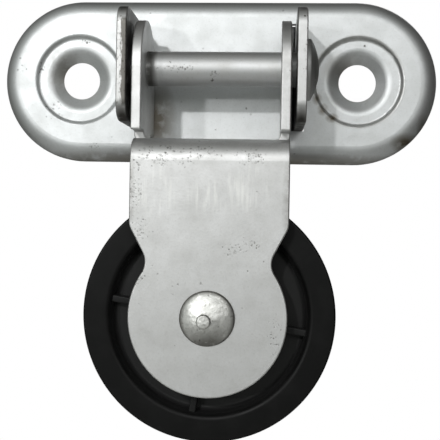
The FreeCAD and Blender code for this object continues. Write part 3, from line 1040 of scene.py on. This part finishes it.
@dataclass
class Wheel:
    """The moulded wheel, in millimetres: a rope groove, a web with ribs and a long hub."""

    radius: float = 25.0
    groove_mouth_half: float = 4.543
    flank_foot_half: float = 3.864
    groove_radius: float = 4.0
    groove_centre: float = 23.5
    groove_steps: int = 12
    pocket_mouth: float = 19.58
    pocket_root: float = 19.18
    web_half: float = 2.5
    hub_radius: float = 9.0
    hub_half: float = 7.443
    bore_radius: float = 4.65
    rib_count: int = 4
    rib_thickness: float = 1.4
    rib_setback: float = 0.8
    rib_turn_deg: float = 9.0
    rib_soft: float = 0.3
    rib_segments: int = 3
    edge_soft: float = 0.45
    mouth_soft: float = 1.1
    corner_soft: float = 0.9
    turn_steps: int = 160
    finish: Finish = MouldedNylon("moulded_black_nylon")

    def side(self, sign: int) -> list[Ring]:
        """Works out one side's profile, from the groove's mouth in to the bore.

        Args:
            sign: 1 or -1, the side of the middle plane.

        Returns:
            The rings in order.
        """
        return [
            Ring(self.radius, sign * self.groove_mouth_half, self.edge_soft),
            Ring(self.radius, sign * WHEEL_FACE_HALF, self.edge_soft),
            Ring(self.pocket_mouth, sign * WHEEL_FACE_HALF, self.mouth_soft),
            Ring(self.pocket_root, sign * self.web_half, self.corner_soft),
            Ring(self.hub_radius, sign * self.web_half, self.corner_soft),
            Ring(self.hub_radius, sign * self.hub_half, self.edge_soft),
            Ring(self.bore_radius, sign * self.hub_half),
        ]

    def groove(self) -> list[Ring]:
        """Works out the round bottom of the rope groove.

        Returns:
            The rings from one flank's foot to the other's.
        """
        widest = math.asin(self.flank_foot_half / self.groove_radius)
        rings = []
        for step in range(self.groove_steps + 1):
            lean = widest * (2 * step / self.groove_steps - 1)
            away = self.groove_centre - self.groove_radius * math.cos(lean)
            rings.append(Ring(away, self.groove_radius * math.sin(lean)))
        return rings

    def ribs(self, mesh: bmesh.types.BMesh) -> None:
        """Stands the ribs in both pockets.

        Args:
            mesh: The turned wheel, which gets the ribs.
        """
        length = self.pocket_mouth - self.hub_radius
        height = WHEEL_FACE_HALF - self.rib_setback
        for index in range(self.rib_count):
            made = bmesh.ops.create_cube(mesh, size=1.0)["verts"]
            angle = -math.radians(self.rib_turn_deg) + index * math.tau / self.rib_count
            turn = Matrix.Rotation(angle, 4, "Z")
            middle = Matrix.Translation(Vector((self.hub_radius + length / 2, 0.0, 0.0)) * MM)
            size = Matrix.Diagonal((length * MM, self.rib_thickness * MM, 2 * height * MM, 1.0))
            bmesh.ops.transform(mesh, matrix=turn @ middle @ size, verts=made)
            edges = list(dict.fromkeys(edge for vert in made for edge in vert.link_edges))
            round_edges(mesh, edges, self.rib_soft, self.rib_segments)

    def build(self) -> None:
        """Turns the wheel and stands its ribs."""
        profile = self.groove() + self.side(1) + self.side(-1)[::-1]
        mesh = turn_profile(profile, True, self.turn_steps)
        self.ribs(mesh)
        lay_on_axis(mesh, "X", AXLE_Z)
        finish_piece("moulded_wheel", mesh, self.finish, Body.WHEEL, "sheave")


@dataclass(frozen=True)
class Lamp:
    """A square lamp that faces the frame's origin.

    Attributes:
        name: The lamp's name.
        azimuth: Degrees to the right of the front.
        elevation: Degrees above the front.
        power: Watts.
        distance: Metres from the origin.
        size: Side of the lamp in metres.
    """

    name: str
    azimuth: float
    elevation: float
    power: float
    distance: float = 0.8
    size: float = 0.03

    def build(self) -> None:
        """Hangs the lamp."""
        light = bpy.data.lights.new(self.name, "AREA")
        light.size = self.size
        light.energy = self.power
        lamp = bpy.data.objects.new(self.name, light)
        bpy.context.scene.collection.objects.link(lamp)
        turn, rise = math.radians(self.azimuth), math.radians(self.elevation)
        away = Vector((math.sin(turn) * math.cos(rise), -math.cos(turn) * math.cos(rise), math.sin(rise)))
        lamp.location = away * self.distance
        lamp.rotation_euler = (-away).to_track_quat("-Z", "Y").to_euler()


@dataclass
class Studio:
    """Light tent, lamps, pale floor and the camera at the photograph's place."""

    lens_mm: float = 72.1
    clip_start_m: float = 0.01
    camera_mm: tuple[float, float, float] = (12.27, -194.39, -27.27)
    yaw_deg: float = 3.4
    pitch_deg: float = -0.8
    roll_deg: float = -0.975
    backdrop: str = "#ffffff"
    floor_drop_mm: float = 75.0
    floor_radius_mm: float = 230.0
    floor_segments: int = 96
    floor_colour: str = "#ececea"
    floor_roughness: float = 0.9
    tent_radius_mm: float = 900.0
    tent_segments: tuple[int, int] = (64, 32)
    tent_aim: tuple[float, float, float] = (-0.45, -0.87, 0.2)
    tent_bright: float = 0.36
    tent_dim: float = 0.05
    tent_bright_tint: str = "#f6fff9"
    tent_dim_tint: str = "#fffcf5"
    lamps: tuple[Lamp, ...] = (
        Lamp("key_lamp", -17.2, 19.0, 1.35),
        Lamp("side_lamp", -29.0, 5.5, 0.7),
        Lamp("top_fill_lamp", -3.0, 31.0, 0.36, size=0.25),
        Lamp("right_fill_lamp", 20.0, 15.0, 0.68, size=0.25),
        Lamp("back_fill_lamp", 165.0, 25.0, 0.5, size=0.3),
    )

    def camera(self) -> None:
        """Sets up the camera."""
        lens = bpy.data.cameras.new("camera")
        lens.lens = self.lens_mm
        lens.clip_start = self.clip_start_m
        eye = bpy.data.objects.new("camera", lens)
        bpy.context.scene.collection.objects.link(eye)
        turn = (
            Matrix.Rotation(math.radians(self.yaw_deg), 3, "Z")
            @ Matrix.Rotation(math.radians(self.pitch_deg), 3, "X")
            @ Matrix.Rotation(math.radians(self.roll_deg), 3, "Y")
        )
        right, forward, up = turn.col
        axes = Matrix((right, up, -forward)).transposed()
        eye.matrix_world = Matrix.Translation(Vector(self.camera_mm) * MM) @ axes.to_4x4()
        bpy.context.scene.camera = eye

    def world(self) -> None:
        """Makes the background white for the camera and for what gloss shows, and dim as a light."""
        world = bpy.data.worlds.new("white_background")
        bpy.context.scene.world = world
        world.use_nodes = True
        tree = world.node_tree
        tree.nodes.clear()
        path = add_node(tree, "LightPath").outputs
        seen = calculate(tree, "MAXIMUM", path["Is Camera Ray"], path["Is Glossy Ray"])
        shown = calculate(tree, "MAXIMUM", seen, path["Is Transmission Ray"])
        level = ramp(tree, shown, target=(self.tent_dim, 1.0))
        sky = add_node(tree, "Background", {"Color": linear(self.backdrop)}, {"Strength": level})
        add_node(tree, "OutputWorld", links={"Surface": sky.outputs["Background"]})

    def floor(self) -> None:
        """Lays a pale disc under the object."""
        material = bpy.data.materials.new("pale_floor")
        material.use_nodes = True
        surface = material.node_tree.nodes["Principled BSDF"]
        surface.inputs["Base Color"].default_value = linear(self.floor_colour)
        surface.inputs["Roughness"].default_value = self.floor_roughness
        disc = bmesh.new()
        bmesh.ops.create_circle(
            disc, cap_ends=True, segments=self.floor_segments, radius=self.floor_radius_mm * MM
        )
        drop = CAD_BOX[0].z - self.floor_drop_mm * MM
        bmesh.ops.translate(disc, verts=disc.verts, vec=(0.0, 0.0, drop))
        piece = add_object("floor", disc, material)

    def tent(self) -> None:
        """Surrounds the object with a dim tent that is brighter in front than elsewhere."""
        material = bpy.data.materials.new("light_tent")
        material.use_nodes = True
        tree = material.node_tree
        tree.nodes.clear()
        place = add_node(tree, "TexCoord").outputs["Object"]
        aim = Vector(self.tent_aim).normalized() / (self.tent_radius_mm * MM)
        dot = add_node(tree, "VectorMath", {"operation": "DOT_PRODUCT", 1: aim}, {0: place})
        towards = dot.outputs["Value"]
        level = ramp(tree, towards, target=(self.tent_dim, self.tent_bright))
        tint = mix_colours(tree, towards, self.tent_dim_tint, self.tent_bright_tint)
        glow = add_node(tree, "Emission", links={"Color": tint, "Strength": level})
        add_node(tree, "OutputMaterial", links={"Surface": glow.outputs["Emission"]})
        ball = bmesh.new()
        around, upwards = self.tent_segments
        bmesh.ops.create_uvsphere(
            ball, u_segments=around, v_segments=upwards, radius=self.tent_radius_mm * MM
        )
        piece = add_object("light_tent", ball, material)
        piece.visible_camera = False
        piece.visible_shadow = False

    def build(self) -> None:
        """Sets up the whole stage."""
        self.camera()
        self.world()
        self.floor()
        self.tent()
        for lamp in self.lamps:
            lamp.build()
        bpy.context.scene.view_settings.view_transform = "Standard"


def main() -> None:
    """Builds the sub-assemblies and the stage in order."""
    logging.basicConfig(level=logging.INFO, format="%(name)s: %(message)s")
    for part in (WallBracket(), SwingFork(), Wheel(), Studio()):
        part.build()


if __name__ == "__main__":
    main()
